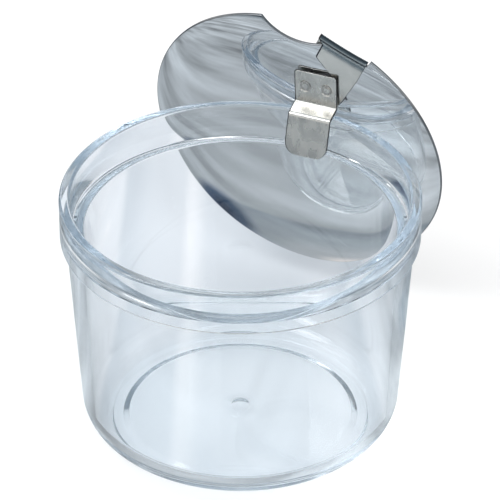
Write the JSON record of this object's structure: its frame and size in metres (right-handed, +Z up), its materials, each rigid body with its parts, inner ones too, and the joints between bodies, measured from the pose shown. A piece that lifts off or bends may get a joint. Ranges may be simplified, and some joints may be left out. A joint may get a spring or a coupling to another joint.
{
  "type": "disinfectant jar",
  "caption": "Round clear tub with a thick collar and an inner ledge, and a domed steel lid that hangs outside its rim by a bent strip.",
  "frame": {"origin": "centre of the jar's foot circle, at the height of the surface it stands on", "axes": "+Z up along the jar's axis; +Y from the axis towards the hung lid; +X to the right for someone looking along +Y"},
  "size_m": [0.1256, 0.1461, 0.1181],
  "materials": {
    "clear_jar": "clear, faintly cool moulded plastic, polished inside and out",
    "lid_steel": "mirror-polished stainless sheet with fine polishing lines",
    "strip_steel": "satin mill-finish stainless sheet with dark sheared edges",
    "weld_steel": "dished spot-weld mark, slightly darker than the strip"
  },
  "bodies": {
    "jar": {"jar_body": "clear_jar"},
    "lid": {"lid_disc": "lid_steel", "lift_tab": "strip_steel", "hanger_strip": "strip_steel", "spot_weld_left": "weld_steel", "spot_weld_right": "weld_steel"}
  },
  "joints": [
    {"name": "lid_lift", "type": "slide", "parent": "jar", "child": "lid", "axis": [0, 0, 1], "range_m": [0, 0.08]}
  ]
}
